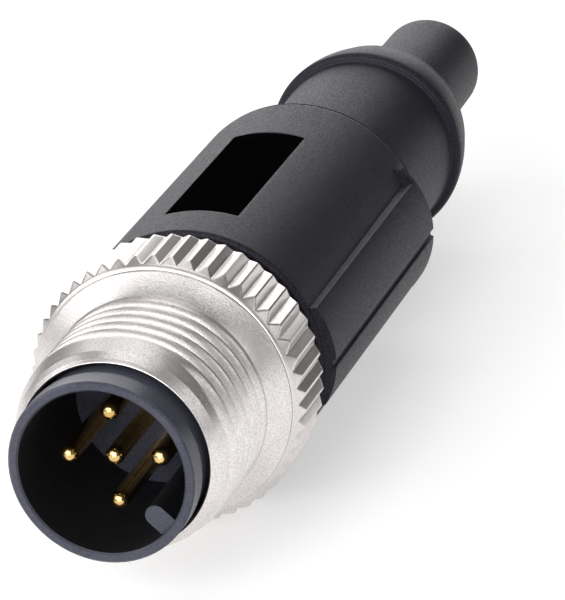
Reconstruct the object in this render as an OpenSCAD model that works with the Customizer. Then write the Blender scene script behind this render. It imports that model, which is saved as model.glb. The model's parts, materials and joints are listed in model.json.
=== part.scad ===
// Male five-pole round connector with a closed, moulded grip and a free-turning threaded nut.
// All sizes in millimetres. The plug axis runs along Y, the mating end faces -Y,
// the bare rating field faces +Z and the two side pads face +X and -X.
// Inside each module the plug is drawn along its own Z axis, from the rim at 0 towards the rear.

/* [Mating end] */
// Outer radius of the shroud's front lip
rim_r = 5.04; // [5.0:0.01:5.06]
// Inner radius of the shroud
shroud_r = 4.5; // [4.45:0.01:4.55]
// Length of the front lip
lip_len = 1.3; // [1:0.05:1.5]
// How much the shroud steps down behind the lip
lip_step = 0.13; // [0.1:0.01:0.16]
// Depth of the shroud
cavity_depth = 9.15; // [8.8:0.05:9.5]
// Small bevel on the rim's edges
rim_bevel = 0.1; // [0.05:0.01:0.12]
// Width of the polarising key
key_width = 1.15; // [1:0.05:1.3]
// How far the key stands in from the shroud wall
key_height = 1.5; // [1.2:0.05:1.6]
// How far the key's front lies behind the rim
key_setback = 0.55; // [0.4:0.05:1.2]

/* [Contacts] */
// Radius of a contact pin
pin_r = 0.5; // [0.48:0.01:0.52]
// Radius of the circle that the four outer pins stand on
pin_circle_r = 2.5; // [2.45:0.01:2.55]
// Distance from the rim back to the pin tips
tip_setback = 1.9; // [1.7:0.05:2.1]
// Radius of the pin's retaining collar
pin_collar_r = 0.68; // [0.64:0.01:0.72]
// Length of the retaining collar
pin_collar_len = 2.6; // [2.2:0.1:3]
// Outer radius of the solder cup
cup_r = 0.75; // [0.72:0.01:0.78]
// Depth of the solder cup
cup_depth = 1.9; // [1.6:0.1:2.1]
// Wall of the solder cup
cup_wall = 0.25; // [0.22:0.01:0.28]

/* [Coupling nut] */
// Distance from the rim back to the nut's front face
nut_setback = 2.13; // [2:0.01:2.3]
// Outer radius of the thread
thread_r = 6; // [5.95:0.01:6.05]
// Length of the threaded part
thread_len = 5.35; // [5.2:0.05:5.5]
// Length of the cone in front of the thread
lead_in_len = 1.8; // [1.6:0.05:1.9]
// Radius of the nut's front face
nut_face_r = 5.28; // [5.24:0.01:5.35]
// Radius of the nut's front bore
nut_bore_r = 5.12; // [5.1:0.01:5.14]
// Length of the smooth flare behind the thread
flare_len = 1.12; // [1:0.02:1.2]
// Outer radius over the ribs
knurl_r = 7.64; // [7.55:0.01:7.7]
// Depth of the grooves between the ribs
groove_depth = 0.52; // [0.4:0.02:0.56]
// Length of the ribbed part
knurl_len = 4.27; // [4.1:0.01:4.4]
// Number of ribs
rib_count = 48; // [40:4:48]
// Share of the rib pitch that the rib's top takes
rib_land = 0.45; // [0.4:0.01:0.5]
// Bevel at both ends of the ribs
rib_bevel = 0.46; // [0.3:0.02:0.5]
// Length of the inner lip that holds the nut on the plug
nut_lip_len = 2.2; // [1.9:0.1:2.4]
// Play of the inner lip round the carrier's neck
lip_play = 0.08; // [0.04:0.01:0.1]
// Radius of the carrier's neck
neck_r = 4.55; // [4.52:0.01:4.58]
// Play of the nut along the axis, at each end
end_play = 0.2; // [0.12:0.01:0.25]

/* [Grip] */
// How far the grip's front edge lies inside the ribs' outer radius
grip_step = 0.46; // [0.4:0.02:0.54]
// Radius lost over the grip's length
grip_draft = 0.09; // [0.05:0.01:0.12]
// Gap between the nut and the grip
nut_gap = 1.1; // [0.9:0.05:1.2]
// Length of the grip from its front edge to its rear edge
grip_len = 20.75; // [20.3:0.05:21.2]
// Rounding of the grip's edges
grip_round = 0.3; // [0.2:0.05:0.4]
// How far the side pads' curved faces stand out past the ribs
pad_proud = 0.16; // [0.08:0.01:0.22]
// Radius of the rounding of a pad's face
pad_curve_r = 5.05; // [4.8:0.05:5.6]
// Half of a side pad's height
pad_half = 2.79; // [2.6:0.01:2.9]
// Distance from a pad's rear end to the grip's rear edge
pad_short = 0.72; // [0.6:0.02:0.9]
// How far a pad starts behind the grip's front edge
pad_start = 0.3; // [0.2:0.05:0.5]
// Width of the shallow channel along each pad
channel_width = 0.88; // [0.7:0.02:1]
// Depth of the channel
channel_depth = 0.14; // [0.1:0.01:0.2]
// How far the channel's middle lies below the axis
channel_drop = 0.62; // [0.5:0.02:0.8]
// Length of the sloped gusset at a pad's rear end
gusset_len = 1.2; // [1:0.05:1.4]
// Height of the gusset above the pad
gusset_rise = 0.92; // [0.8:0.02:1]
// Half of the rating field's width
field_half = 2.06; // [1.9:0.02:2.2]
// Length of the rating field
field_len = 12.4; // [11.8:0.1:12.8]
// Distance from the grip's front edge to the rating field
field_start = 3.25; // [3:0.05:3.5]
// Depth of the rating field below its straight edges
field_depth = 0.1; // [0.05:0.01:0.15]

/* [Rear end] */
// Radius of the neck next to the grip
waist_r = 5.12; // [5.05:0.01:5.2]
// Radius of the neck next to the flange
waist_end_r = 5.38; // [5.32:0.01:5.42]
// Length from the grip's rear edge to the flange
waist_len = 11.9; // [11.5:0.1:12.4]
// Largest radius of the flange
flange_r = 5.87; // [5.8:0.01:5.95]
// Thickness of the flange
flange_len = 3.95; // [3.7:0.05:4.2]
// Radius of the flange's rear edge
flange_rear_r = 5.3; // [5.2:0.01:5.4]
// Radius of the stub next to the flange
stub_r = 3.2; // [3.12:0.01:3.3]
// Radius of the stub next to its end
stub_end_r = 3.1; // [3.02:0.01:3.12]
// Length of the stub behind the flange
stub_len = 11.1; // [10.5:0.05:11.6]
// Rounding of the stub's end
stub_round = 0.45; // [0.3:0.05:0.6]
// Radius of the hollow blend between flange and stub
stub_blend = 0.7; // [0.5:0.05:0.8]

/* [Inside] */
// Radius of the inner mould inside the grip
core_r = 5.3; // [5.2:0.02:5.4]
// Radius of the inner mould's collar behind the nut
collar_r = 6.1; // [6:0.05:6.2]
// How far the carrier reaches behind the grip's front edge
carrier_tail = 2.35; // [2.2:0.05:2.5]
// Radius of a resistor lead
lead_r = 0.28; // [0.26:0.01:0.3]
// Radius of the resistor's ceramic rod
rod_r = 0.8; // [0.75:0.01:0.85]
// Length of the ceramic rod
rod_len = 5.4; // [5:0.1:5.6]
// Wall of a resistor end cap
cap_wall = 0.16; // [0.14:0.01:0.18]
// Length of an end cap
cap_len = 1.2; // [1.1:0.05:1.3]
// Thickness of the resistor's coating over the caps
coat = 0.16; // [0.14:0.01:0.18]
// Distance from the solder cups to the resistor
lead_run = 2; // [1.8:0.1:2.2]
// Straight part of the rear lead before it turns back
lead_back = 0.8; // [0.7:0.05:0.9]
// Wall of the lead's sleeve
sleeve_wall = 0.22; // [0.2:0.01:0.24]
// Length of mould behind the lead's bend
core_end = 1.2; // [1:0.05:1.3]

/* [Hidden] */
$fn = 96;
carrier_black = [0.08, 0.08, 0.09];
gold = [0.85, 0.66, 0.28];
nickel = [0.78, 0.77, 0.75];
ceramic = [0.85, 0.83, 0.78];
tin = [0.7, 0.7, 0.72];
coat_blue = [0.35, 0.55, 0.68];
sleeve_tan = [0.75, 0.72, 0.6];
solder_grey = [0.66, 0.66, 0.68];
mould_black = [0.12, 0.12, 0.13];
grip_black = [0.1, 0.1, 0.11];
full_turn = 360;
quarter = 90;
half_turn = 180;
round_steps = 5;
pin_count = 4;
key_angle = 45;
cut_over = 1;
cup_floor = 0.9;
nut_bevel = 0.12;
rib_root_gain = 0.35;
gusset_lean = 33;
gusset_sweep = 26;
gusset_block = 6;
pin_overrun = 0.4;
tip_round = 0.42;
rod_gap = 0.12;
tail_round = 0.6;

// Stations along the plug, measured from the rim
nut_face_s = nut_setback;
thread_s = nut_face_s + lead_in_len;
flare_s = thread_s + thread_len;
knurl_s = flare_s + flare_len;
nut_end_s = knurl_s + knurl_len;
nut_lip_s = nut_end_s - nut_lip_len;
shoulder_s = nut_lip_s - end_play;
collar_s = nut_end_s + end_play;
grip_s = nut_end_s + nut_gap;
carrier_end_s = grip_s + carrier_tail;
cup_end_s = carrier_end_s + cup_floor + cup_depth;
coat_s = cup_end_s + lead_run;
rod_s = coat_s + coat + cap_wall;
rod_end_s = rod_s + rod_len;
coat_end_s = rod_end_s + cap_wall + coat;
bend_s = coat_end_s + lead_back;
bend_r = pin_circle_r / 2;
core_end_s = bend_s + bend_r + lead_r + core_end;
grip_end_s = grip_s + grip_len;
pad_end_s = grip_end_s - pad_short;
flange_s = grip_end_s + waist_len;
flange_end_s = flange_s + flange_len;
total_len = flange_end_s + stub_len;
axis_height = knurl_r;

// Radii and angles that follow from the sizes above
grip_r = knurl_r - grip_step;
pad_r = knurl_r + pad_proud;
shroud_out_r = rim_r - lip_step;
rib_root_r = knurl_r - groove_depth;
nut_lip_r = neck_r + lip_play;
pitch_angle = full_turn / rib_count;
rib_top_half = knurl_r * tan(pitch_angle * rib_land / 2);
rib_foot_half = rib_top_half + groove_depth * rib_root_gain;
grip_end_r = grip_r - grip_draft;
field_height = sqrt(grip_r * grip_r - field_half * field_half) - field_depth;
cap_r = rod_r + cap_wall;
coat_r = cap_r + coat;
cup_bore_r = cup_r - cup_wall;
cup_bore_s = cup_end_s - cup_depth;
collar_mid_s = (shoulder_s + carrier_end_s) / 2;

// The plug's own axis laid along Y at its resting height
module place() {
    translate([0, -total_len / 2, axis_height])
        rotate([-quarter, 0, 0])
            children();
}

// A round bar between two stations
module bar(r, s0, s1) {
    translate([0, 0, s0])
        cylinder(r = r, h = s1 - s0);
}

// A rounded corner as a list of points, from angle a0 to a1 about its centre
function corner(cr, cs, r, a0, a1) =
    [for (i = [0 : round_steps])
        [cr + r * cos(a0 + (a1 - a0) * i / round_steps),
         cs + r * sin(a0 + (a1 - a0) * i / round_steps)]];

// The place of an outer contact, counted from the right-hand one round to the top
module at_contact(i) {
    translate([pin_circle_r * cos(i * quarter), -pin_circle_r * sin(i * quarter), 0])
        children();
}

// The outline of a contact without its solder cup's hollow
module contact_blank() {
    rotate_extrude()
        polygon(concat(
            [[0, tip_setback]],
            corner(pin_r - tip_round, tip_setback + tip_round, tip_round, -quarter, 0),
            [[pin_r, collar_mid_s - pin_collar_len / 2],
            [pin_collar_r, collar_mid_s - pin_collar_len / 2],
            [pin_collar_r, collar_mid_s + pin_collar_len / 2],
            [pin_r, collar_mid_s + pin_collar_len / 2],
            [pin_r, carrier_end_s - pin_overrun],
            [cup_r, carrier_end_s],
            [cup_r, cup_end_s],
            [0, cup_end_s]]));
}

// One contact: domed pin, retaining collar and solder cup
module contact() {
    difference() {
        contact_blank();
        bar(cup_bore_r, cup_bore_s, cup_end_s + cut_over);
    }
}

// All five contacts as solid outlines
module contact_blanks() {
    contact_blank();
    for (i = [0 : pin_count - 1])
        at_contact(i) contact_blank();
}

// Shroud, insert and key, moulded in one piece
module carrier_outline() {
    rotate_extrude()
        polygon([
            [0, cavity_depth],
            [shroud_r, cavity_depth],
            [shroud_r, rim_bevel],
            [shroud_r + rim_bevel, 0],
            [rim_r - rim_bevel, 0],
            [rim_r, rim_bevel],
            [rim_r, lip_len],
            [shroud_out_r, lip_len],
            [shroud_out_r, shoulder_s],
            [neck_r, shoulder_s],
            [neck_r, carrier_end_s],
            [0, carrier_end_s]]);
}

module key() {
    key_in_r = shroud_r - key_height;
    rotate([0, 0, key_angle])
        translate([0, 0, key_setback])
            linear_extrude(height = cavity_depth - key_setback + cut_over)
                intersection() {
                    union() {
                        translate([key_in_r + key_width / 2, 0])
                            circle(d = key_width);
                        translate([key_in_r + key_width / 2, -key_width / 2])
                            square([key_height, key_width]);
                    }
                    circle(r = (shroud_r + shroud_out_r) / 2);
                }
}

module contact_carrier() {
    color(carrier_black)
        place()
            difference() {
                union() {
                    carrier_outline();
                    key();
                }
                contact_blanks();
            }
}

module contact_pin_right() {
    color(gold) place() at_contact(0) contact();
}

module contact_pin_top() {
    color(gold) place() at_contact(1) contact();
}

module contact_pin_left() {
    color(gold) place() at_contact(2) contact();
}

module contact_pin_bottom() {
    color(gold) place() at_contact(pin_count - 1) contact();
}

module contact_pin_centre() {
    color(gold) place() contact();
}

// The nut without its ribs
module nut_core() {
    rotate_extrude()
        polygon([
            [nut_bore_r, nut_face_s + nut_bevel],
            [nut_bore_r + nut_bevel, nut_face_s],
            [nut_face_r, nut_face_s],
            [thread_r, thread_s],
            [thread_r, flare_s],
            [rib_root_r, knurl_s],
            [rib_root_r, nut_end_s],
            [nut_lip_r, nut_end_s],
            [nut_lip_r, nut_lip_s],
            [nut_bore_r, nut_lip_s]]);
}

// The ring of space that the bevelled ribs fill
module rib_band() {
    rotate_extrude()
        polygon([
            [rib_root_r - cut_over, knurl_s],
            [rib_root_r, knurl_s],
            [knurl_r, knurl_s + rib_bevel],
            [knurl_r, nut_end_s - rib_bevel],
            [rib_root_r, nut_end_s],
            [rib_root_r - cut_over, nut_end_s]]);
}

module ribs() {
    intersection() {
        rib_band();
        translate([0, 0, knurl_s])
            linear_extrude(height = knurl_len)
                for (i = [0 : rib_count - 1])
                    rotate(i * pitch_angle)
                        polygon([
                            [rib_root_r - groove_depth, -rib_foot_half],
                            [rib_root_r, -rib_foot_half],
                            [knurl_r, -rib_top_half],
                            [knurl_r + groove_depth, -rib_top_half],
                            [knurl_r + groove_depth, rib_top_half],
                            [knurl_r, rib_top_half],
                            [rib_root_r, rib_foot_half],
                            [rib_root_r - groove_depth, rib_foot_half]]);
    }
}

module coupling_nut() {
    color(nickel)
        place()
            union() {
                nut_core();
                ribs();
            }
}

// The resistor's outline over its coating
module coat_outline() {
    rotate_extrude()
        polygon([
            [0, coat_s],
            [coat_r - coat, coat_s],
            [coat_r, coat_s + coat],
            [coat_r, rod_s + cap_len],
            [coat_r - cap_wall, rod_s + cap_len + coat],
            [coat_r - cap_wall, rod_end_s - cap_len - coat],
            [coat_r, rod_end_s - cap_len],
            [coat_r, coat_end_s - coat],
            [coat_r - coat, coat_end_s],
            [0, coat_end_s]]);
}

module resistor_core() {
    color(ceramic) place() bar(rod_r, rod_s, rod_end_s);
}

// An end cap over the rod, opening towards +Z before it is turned round
module cap() {
    difference() {
        bar(cap_r, -cap_wall, cap_len);
        bar(rod_r, 0, cap_len + cut_over);
    }
}

module cap_pair() {
    translate([0, 0, rod_s]) cap();
    translate([0, 0, rod_end_s]) rotate([half_turn, 0, 0]) cap();
}

module resistor_cap_front() {
    color(tin) place() translate([0, 0, rod_s]) cap();
}

module resistor_cap_rear() {
    color(tin)
        place() translate([0, 0, rod_end_s]) rotate([half_turn, 0, 0]) cap();
}

module front_wire() {
    bar(lead_r, cup_bore_s + rod_gap, rod_s - cap_wall);
}

// The rear lead leaves along the axis, turns back and runs to the bottom contact
module rear_wire() {
    bar(lead_r, rod_end_s + cap_wall, bend_s);
    translate([0, bend_r, bend_s])
        rotate([quarter, 0, quarter])
            rotate_extrude(angle = half_turn)
                translate([bend_r, 0])
                    circle(r = lead_r);
    at_contact(pin_count - 1)
        bar(lead_r, cup_bore_s + rod_gap, bend_s);
}

module resistor_coat() {
    color(coat_blue)
        place()
            difference() {
                coat_outline();
                bar(rod_r, rod_s, rod_end_s);
                cap_pair();
                front_wire();
                rear_wire();
            }
}

module lead_front() {
    color(tin) place() front_wire();
}

module lead_rear() {
    color(tin) place() rear_wire();
}

module sleeve_outline() {
    at_contact(pin_count - 1)
        bar(lead_r + sleeve_wall, cup_end_s + lead_r, bend_s - lead_r);
}

module lead_sleeve() {
    color(sleeve_tan)
        place()
            difference() {
                sleeve_outline();
                rear_wire();
            }
}

module solder_fill() {
    bar(cup_bore_r, cup_bore_s, cup_end_s);
}

module solder_centre() {
    color(solder_grey)
        place()
            difference() {
                solder_fill();
                front_wire();
            }
}

module solder_bottom() {
    color(solder_grey)
        place()
            difference() {
                at_contact(pin_count - 1) solder_fill();
                rear_wire();
            }
}

// The block moulded round the contacts and the resistor before the grip
module core_blank() {
    rotate_extrude()
        polygon(concat(
            [[0, collar_s], [collar_r, collar_s], [collar_r, grip_s], [core_r, grip_s]],
            corner(core_r - tail_round, core_end_s - tail_round, tail_round, 0, quarter),
            [[0, core_end_s]]));
}

module inner_mould() {
    color(mould_black)
        place()
            difference() {
                core_blank();
                bar(neck_r, collar_s - cut_over, carrier_end_s);
                contact_blanks();
                coat_outline();
                front_wire();
                rear_wire();
                sleeve_outline();
            }
}

// Grip, neck, flange and closed stub as one turned outline
module grip_outline() {
    rotate_extrude()
        polygon(concat(
            [[0, grip_s]],
            corner(grip_r - grip_round, grip_s + grip_round, grip_round, -quarter, 0),
            corner(grip_end_r - grip_round, grip_end_s - grip_round, grip_round, 0, quarter),
            corner(waist_r + grip_round, grip_end_s + grip_round, grip_round, -quarter, -half_turn),
            [[waist_end_r, flange_s]],
            corner(flange_r - grip_round, flange_s + grip_round, grip_round, -quarter, 0),
            [[flange_r, flange_s + grip_round * 2]],
            corner(flange_rear_r - stub_blend, flange_end_s - stub_blend, stub_blend, 0, quarter),
            corner(stub_r + stub_blend, flange_end_s + stub_blend, stub_blend, -quarter, -half_turn),
            corner(stub_end_r - stub_round, total_len - stub_round, stub_round, 0, quarter),
            [[0, total_len]]));
}

// The rounding of one side's pad face, as a bar beside the plug's axis
module pad_bar(side, s0, s1) {
    translate([side * (pad_r - pad_curve_r), 0, 0])
        bar(pad_curve_r, s0, s1);
}

// One gusset where the right-hand pad's upper ledge meets its rear end
module gusset() {
    intersection() {
        pad_bar(1, pad_end_s - gusset_len, pad_end_s);
        translate([0, -pad_half - gusset_rise, pad_end_s - gusset_len])
            cube([pad_r, gusset_rise + pad_half, gusset_len]);
        translate([grip_r * cos(asin(pad_half / grip_r)), -pad_half, pad_end_s - gusset_len])
            rotate([0, gusset_sweep, -gusset_lean])
                translate([-gusset_block, -gusset_block, -gusset_block])
                    cube([gusset_block, gusset_block * 2, gusset_block * 2]);
    }
}

// A slab across the plug, cut to the pads' rounding, with the channel along each side
module pads() {
    difference() {
        intersection() {
            union() {
                for (side = [-1, 1])
                    pad_bar(side, grip_s + pad_start, pad_end_s);
            }
            translate([-pad_r, -pad_half, grip_s])
                cube([pad_r * 2, pad_half * 2, grip_len]);
        }
        for (side = [-1, 1])
            translate([side * pad_r - channel_depth, channel_drop - channel_width / 2, grip_s])
                cube([channel_depth * 2, channel_width, grip_len]);
    }
    for (side = [0, 1])
        mirror([side, 0, 0])
            for (low = [0, 1])
                mirror([0, low, 0])
                    gusset();
}

module grip_body() {
    color(grip_black)
        place()
            difference() {
                union() {
                    grip_outline();
                    pads();
                }
                bar(core_r, grip_s - cut_over, core_end_s - tail_round);
                core_blank();
                translate([-field_half, -field_height - grip_r, grip_s + field_start])
                    cube([field_half * 2, grip_r, field_len]);
            }
}

contact_carrier();
contact_pin_right();
contact_pin_top();
contact_pin_left();
contact_pin_bottom();
contact_pin_centre();
coupling_nut();
inner_mould();
resistor_core();
resistor_cap_front();
resistor_cap_rear();
resistor_coat();
lead_front();
lead_rear();
lead_sleeve();
solder_centre();
solder_bottom();
grip_body();
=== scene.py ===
"""Looks of the threaded round plug: turned nut, plated pins, moulded grip, floor, lights and camera."""

import json
import logging
from dataclasses import dataclass, field
from enum import Enum

import bpy
import numpy as np
from mathutils import Matrix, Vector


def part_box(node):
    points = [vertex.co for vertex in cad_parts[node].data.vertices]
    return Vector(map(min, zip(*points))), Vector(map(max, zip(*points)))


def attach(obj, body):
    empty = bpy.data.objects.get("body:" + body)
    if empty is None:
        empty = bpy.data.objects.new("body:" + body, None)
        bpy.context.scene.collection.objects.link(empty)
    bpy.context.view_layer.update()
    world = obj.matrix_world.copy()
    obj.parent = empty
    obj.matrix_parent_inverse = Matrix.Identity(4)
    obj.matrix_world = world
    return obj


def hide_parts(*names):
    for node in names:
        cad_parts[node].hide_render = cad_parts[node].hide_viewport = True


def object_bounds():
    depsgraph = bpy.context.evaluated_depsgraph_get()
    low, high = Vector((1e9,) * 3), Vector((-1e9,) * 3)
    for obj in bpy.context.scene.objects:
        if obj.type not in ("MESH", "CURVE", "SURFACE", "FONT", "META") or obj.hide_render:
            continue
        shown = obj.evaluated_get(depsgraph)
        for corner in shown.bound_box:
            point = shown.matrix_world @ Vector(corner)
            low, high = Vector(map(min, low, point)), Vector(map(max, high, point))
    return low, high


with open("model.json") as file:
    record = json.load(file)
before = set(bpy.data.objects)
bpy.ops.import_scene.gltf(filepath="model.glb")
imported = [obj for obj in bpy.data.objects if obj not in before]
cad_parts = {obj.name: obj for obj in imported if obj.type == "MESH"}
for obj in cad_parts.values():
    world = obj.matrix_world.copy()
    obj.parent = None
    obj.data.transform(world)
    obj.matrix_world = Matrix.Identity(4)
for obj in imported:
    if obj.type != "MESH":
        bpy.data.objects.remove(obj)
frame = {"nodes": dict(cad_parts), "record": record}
CAD_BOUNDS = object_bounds()

LOG = logging.getLogger("plug")
MM = 0.001
TURN = 2 * np.pi
TINY = 1e-6


class Body(Enum):
    """The two moving bodies of the plug."""

    PLUG = "plug"
    NUT = "nut"


class Slot(Enum):
    """The record's material slots."""

    CARRIER = "carrier_plastic"
    CONTACT = "contact_plating"
    NUT = "nut_plating"
    CORE = "core_plastic"
    CERAMIC = "ceramic_rod"
    TINNED = "tinned_metal"
    COATING = "resistor_coating"
    SLEEVE = "sleeve_plastic"
    SOLDER = "solder"
    GRIP = "grip_plastic"


class Wrap(Enum):
    """How a turned grid closes along its profile."""

    LOOP = "loop"
    POLES = "poles"


# ---------------------------------------------------------------- shape helpers


def ramp(x: np.ndarray, low: float, high: float) -> np.ndarray:
    """Smooth step: 0 below low, 1 above high, 3t^2 - 2t^3 between them.

    Args:
        x: Values to map.
        low: Where the step starts.
        high: Where the step ends.

    Returns:
        Array of x's shape from 0 to 1.
    """
    t = np.clip((x - low) / (high - low), 0.0, 1.0)
    return t * t * (3 - 2 * t)


def soft_min(a: np.ndarray, b: np.ndarray, blend: float) -> np.ndarray:
    """Minimum of a and b with a rounded corner of about blend.

    The formula is (a + b - sqrt((a - b)^2 + blend^2)) / 2.

    Args:
        a: First surface.
        b: Second surface.
        blend: Width over which the two are rounded.

    Returns:
        The rounded minimum.
    """
    return 0.5 * (a + b - np.sqrt((a - b) ** 2 + blend**2))


def arc(cs: float, cr: float, radius: float, a0: float, a1: float, steps: int) -> np.ndarray:
    """Rounded corner of a profile, as (station, radius) points.

    A point at angle a is (cs + radius * sin a, cr + radius * cos a).

    Args:
        cs: Station of the corner's centre.
        cr: Radius of the corner's centre.
        radius: Corner radius.
        a0: First angle in degrees.
        a1: Last angle in degrees.
        steps: Number of points.

    Returns:
        Array of shape (steps, 2).
    """
    a = np.radians(np.linspace(a0, a1, steps))
    return np.column_stack([cs + radius * np.sin(a), cr + radius * np.cos(a)])


def spread(breaks: list[float], step: float) -> np.ndarray:
    """Rising values that hit every break and are about step apart between them.

    Args:
        breaks: Values that have to be in the result, rising.
        step: Largest distance between neighbours.

    Returns:
        The values.
    """
    parts = [
        np.linspace(a, b, max(2, int(np.ceil((b - a) / step)) + 1))[:-1]
        for a, b in zip(breaks[:-1], breaks[1:])
    ]
    return np.concatenate([*parts, [breaks[-1]]])


@dataclass(frozen=True)
class PlugAxis:
    """The plug's own axis in the frame: stations run from the rim towards the rear.

    Attributes:
        rim_y: Where station 0 lies along Y, in millimetres.
        height: Height of the axis above the floor, in millimetres.
        length: Whole length along the axis, in millimetres.
    """

    rim_y: float
    height: float
    length: float

    @classmethod
    def from_frame(cls) -> "PlugAxis":
        """Works the axis out from the carrier's and the whole part's boxes.

        Returns:
            The axis.
        """
        low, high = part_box("contact_carrier")
        whole_low, whole_high = CAD_BOUNDS
        return cls(
            rim_y=low.y / MM,
            height=(low.z + high.z) / 2 / MM,
            length=(whole_high.y - whole_low.y) / MM,
        )

    def station(self, y: float) -> float:
        """Station in millimetres of a place y in metres along Y."""
        return y / MM - self.rim_y

    def points(self, s: np.ndarray, r: np.ndarray, theta: np.ndarray) -> np.ndarray:
        """Places of surface points given by station, radius and angle.

        x = r cos(theta), y = rim + s, z = height + r sin(theta), all in metres.

        Args:
            s: Stations in millimetres.
            r: Radii in millimetres.
            theta: Angles from +X towards +Z.

        Returns:
            Array of shape (..., 3).
        """
        x = r * np.cos(theta)
        y = self.rim_y + s + 0 * theta
        z = self.height + r * np.sin(theta)
        return np.stack(np.broadcast_arrays(x, y, z), axis=-1) * MM


def grid_mesh(
    name: str,
    points: np.ndarray,
    wrap: Wrap,
    attributes: dict[str, np.ndarray] | None = None,
) -> bpy.types.Object:
    """Closed mesh from a grid of points: rows along the profile, columns round the axis.

    Columns always close on themselves. With Wrap.LOOP the last row joins the first, and with
    Wrap.POLES the first and last rows each shrink to one point that a fan of triangles closes.

    Args:
        name: Name of the piece.
        points: Array of shape (rows, columns, 3) in metres.
        wrap: How the rows close.
        attributes: Named values per grid point, of shape (rows, columns).

    Returns:
        The new object, linked and smooth-shaded.
    """
    rows, cols = points.shape[:2]
    index = np.arange(rows * cols).reshape(rows, cols)
    if wrap is Wrap.LOOP:
        lower, upper = index, np.roll(index, -1, axis=0)
    else:
        lower, upper = index[:-1], index[1:]
    quads = np.stack(
        [lower, upper, np.roll(upper, -1, axis=1), np.roll(lower, -1, axis=1)], axis=-1
    ).reshape(-1, 4)
    verts = points.reshape(-1, 3)
    faces: list = quads.tolist()
    if wrap is Wrap.POLES:
        first, last = index[0], index[-1]
        poles = np.stack([points[0].mean(axis=0), points[-1].mean(axis=0)])
        a, b = len(verts), len(verts) + 1
        verts = np.concatenate([verts, poles])
        faces += np.column_stack([np.full(cols, a), first, np.roll(first, -1)]).tolist()
        faces += np.column_stack([np.full(cols, b), np.roll(last, -1), last]).tolist()
    mesh = bpy.data.meshes.new(name)
    mesh.from_pydata(verts.tolist(), [], faces)
    if signed_volume(verts, quads) < 0:
        mesh.flip_normals()
    mesh.polygons.foreach_set("use_smooth", np.ones(len(mesh.polygons), dtype=bool))
    for key, values in (attributes or {}).items():
        flat = np.zeros(len(verts), dtype=np.float32)
        flat[: rows * cols] = np.broadcast_to(values, (rows, cols)).reshape(-1)
        layer = mesh.attributes.new(key, "FLOAT", "POINT")
        layer.data.foreach_set("value", flat)
    mesh.update()
    piece = bpy.data.objects.new(name, mesh)
    bpy.context.scene.collection.objects.link(piece)
    return piece


def signed_volume(verts: np.ndarray, quads: np.ndarray) -> float:
    """Sum over the quads of a . (b x c) for both triangles, which is positive for outward faces.

    Args:
        verts: Vertex places.
        quads: Vertex numbers of each quad.

    Returns:
        Six times the enclosed volume, with its sign.
    """
    centre = verts.mean(axis=0)
    a, b, c, d = (verts[quads[:, k]] - centre for k in range(4))
    return float(np.einsum("ij,ij->", a, np.cross(b, c)) + np.einsum("ij,ij->", a, np.cross(c, d)))


# ---------------------------------------------------------------- finishes


class Nodes:
    """Small helper that wires shader nodes in one tree."""

    def __init__(self, tree: bpy.types.NodeTree) -> None:
        """Keeps the tree that the nodes go into."""
        self.tree = tree

    def add(self, kind: str, **settings: object) -> bpy.types.Node:
        """Adds a node and sets its properties.

        Args:
            kind: Node type, such as ShaderNodeMath.
            **settings: Properties of the node.

        Returns:
            The node.
        """
        node = self.tree.nodes.new(kind)
        for key, value in settings.items():
            setattr(node, key, value)
        return node

    def feed(self, node: bpy.types.Node, socket: str | int, value: object) -> None:
        """Links an output to a socket, or sets the socket where the value is plain.

        Args:
            node: Node that takes the value.
            socket: Name or number of its input.
            value: An output socket, a number or a colour.
        """
        target = node.inputs[socket]
        if isinstance(value, bpy.types.NodeSocket):
            self.tree.links.new(value, target)
        else:
            target.default_value = value

    def math(self, operation: str, *values: object, clamp: bool = False) -> bpy.types.NodeSocket:
        """One Math node over the given values.

        Args:
            operation: Math operation name.
            *values: Inputs, each an output socket or a number.
            clamp: Whether the result is held in 0 to 1.

        Returns:
            The result's socket.
        """
        node = self.add("ShaderNodeMath", operation=operation, use_clamp=clamp)
        for i, value in enumerate(values):
            self.feed(node, i, value)
        return node.outputs[0]

    def span(self, value: object, low: float, high: float, to: tuple[float, float]) -> bpy.types.NodeSocket:
        """Maps a value smoothly, and clamps it at both ends.

        Args:
            value: Value to map.
            low: Value that becomes the first of to.
            high: Value that becomes the second of to.
            to: The two results.

        Returns:
            The result's socket.
        """
        node = self.add("ShaderNodeMapRange", interpolation_type="SMOOTHSTEP")
        sockets = ("Value", "From Min", "From Max", "To Min", "To Max")
        for socket, x in zip(sockets, (value, low, high, *to)):
            self.feed(node, socket, x)
        return node.outputs[0]

    def mix(self, factor: object, a: object, b: object) -> bpy.types.NodeSocket:
        """Mixes two colours.

        Args:
            factor: Share of the second colour.
            a: First colour.
            b: Second colour.

        Returns:
            The mixed colour's socket.
        """
        node = self.add("ShaderNodeMix", data_type="RGBA")
        factor_in, first_in, second_in, colour_out = 0, 6, 7, 2
        self.feed(node, factor_in, factor)
        self.feed(node, first_in, a)
        self.feed(node, second_in, b)
        return node.outputs[colour_out]

    def noise(self, vector: object, scale: object, detail: float, rough: float = 0.5) -> bpy.types.NodeSocket:
        """Noise value at a place.

        Args:
            vector: The place.
            scale: Bumps per metre.
            detail: Number of finer layers.
            rough: How strong the finer layers are.

        Returns:
            The value's socket.
        """
        node = self.add("ShaderNodeTexNoise")
        self.feed(node, "Vector", vector)
        self.feed(node, "Scale", scale)
        self.feed(node, "Detail", detail)
        self.feed(node, "Roughness", rough)
        return node.outputs["Fac"]


def socket_colour(rgb: tuple[float, float, float]) -> tuple[float, float, float, float]:
    """A colour with full alpha."""
    return (*rgb, 1.0)


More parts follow.
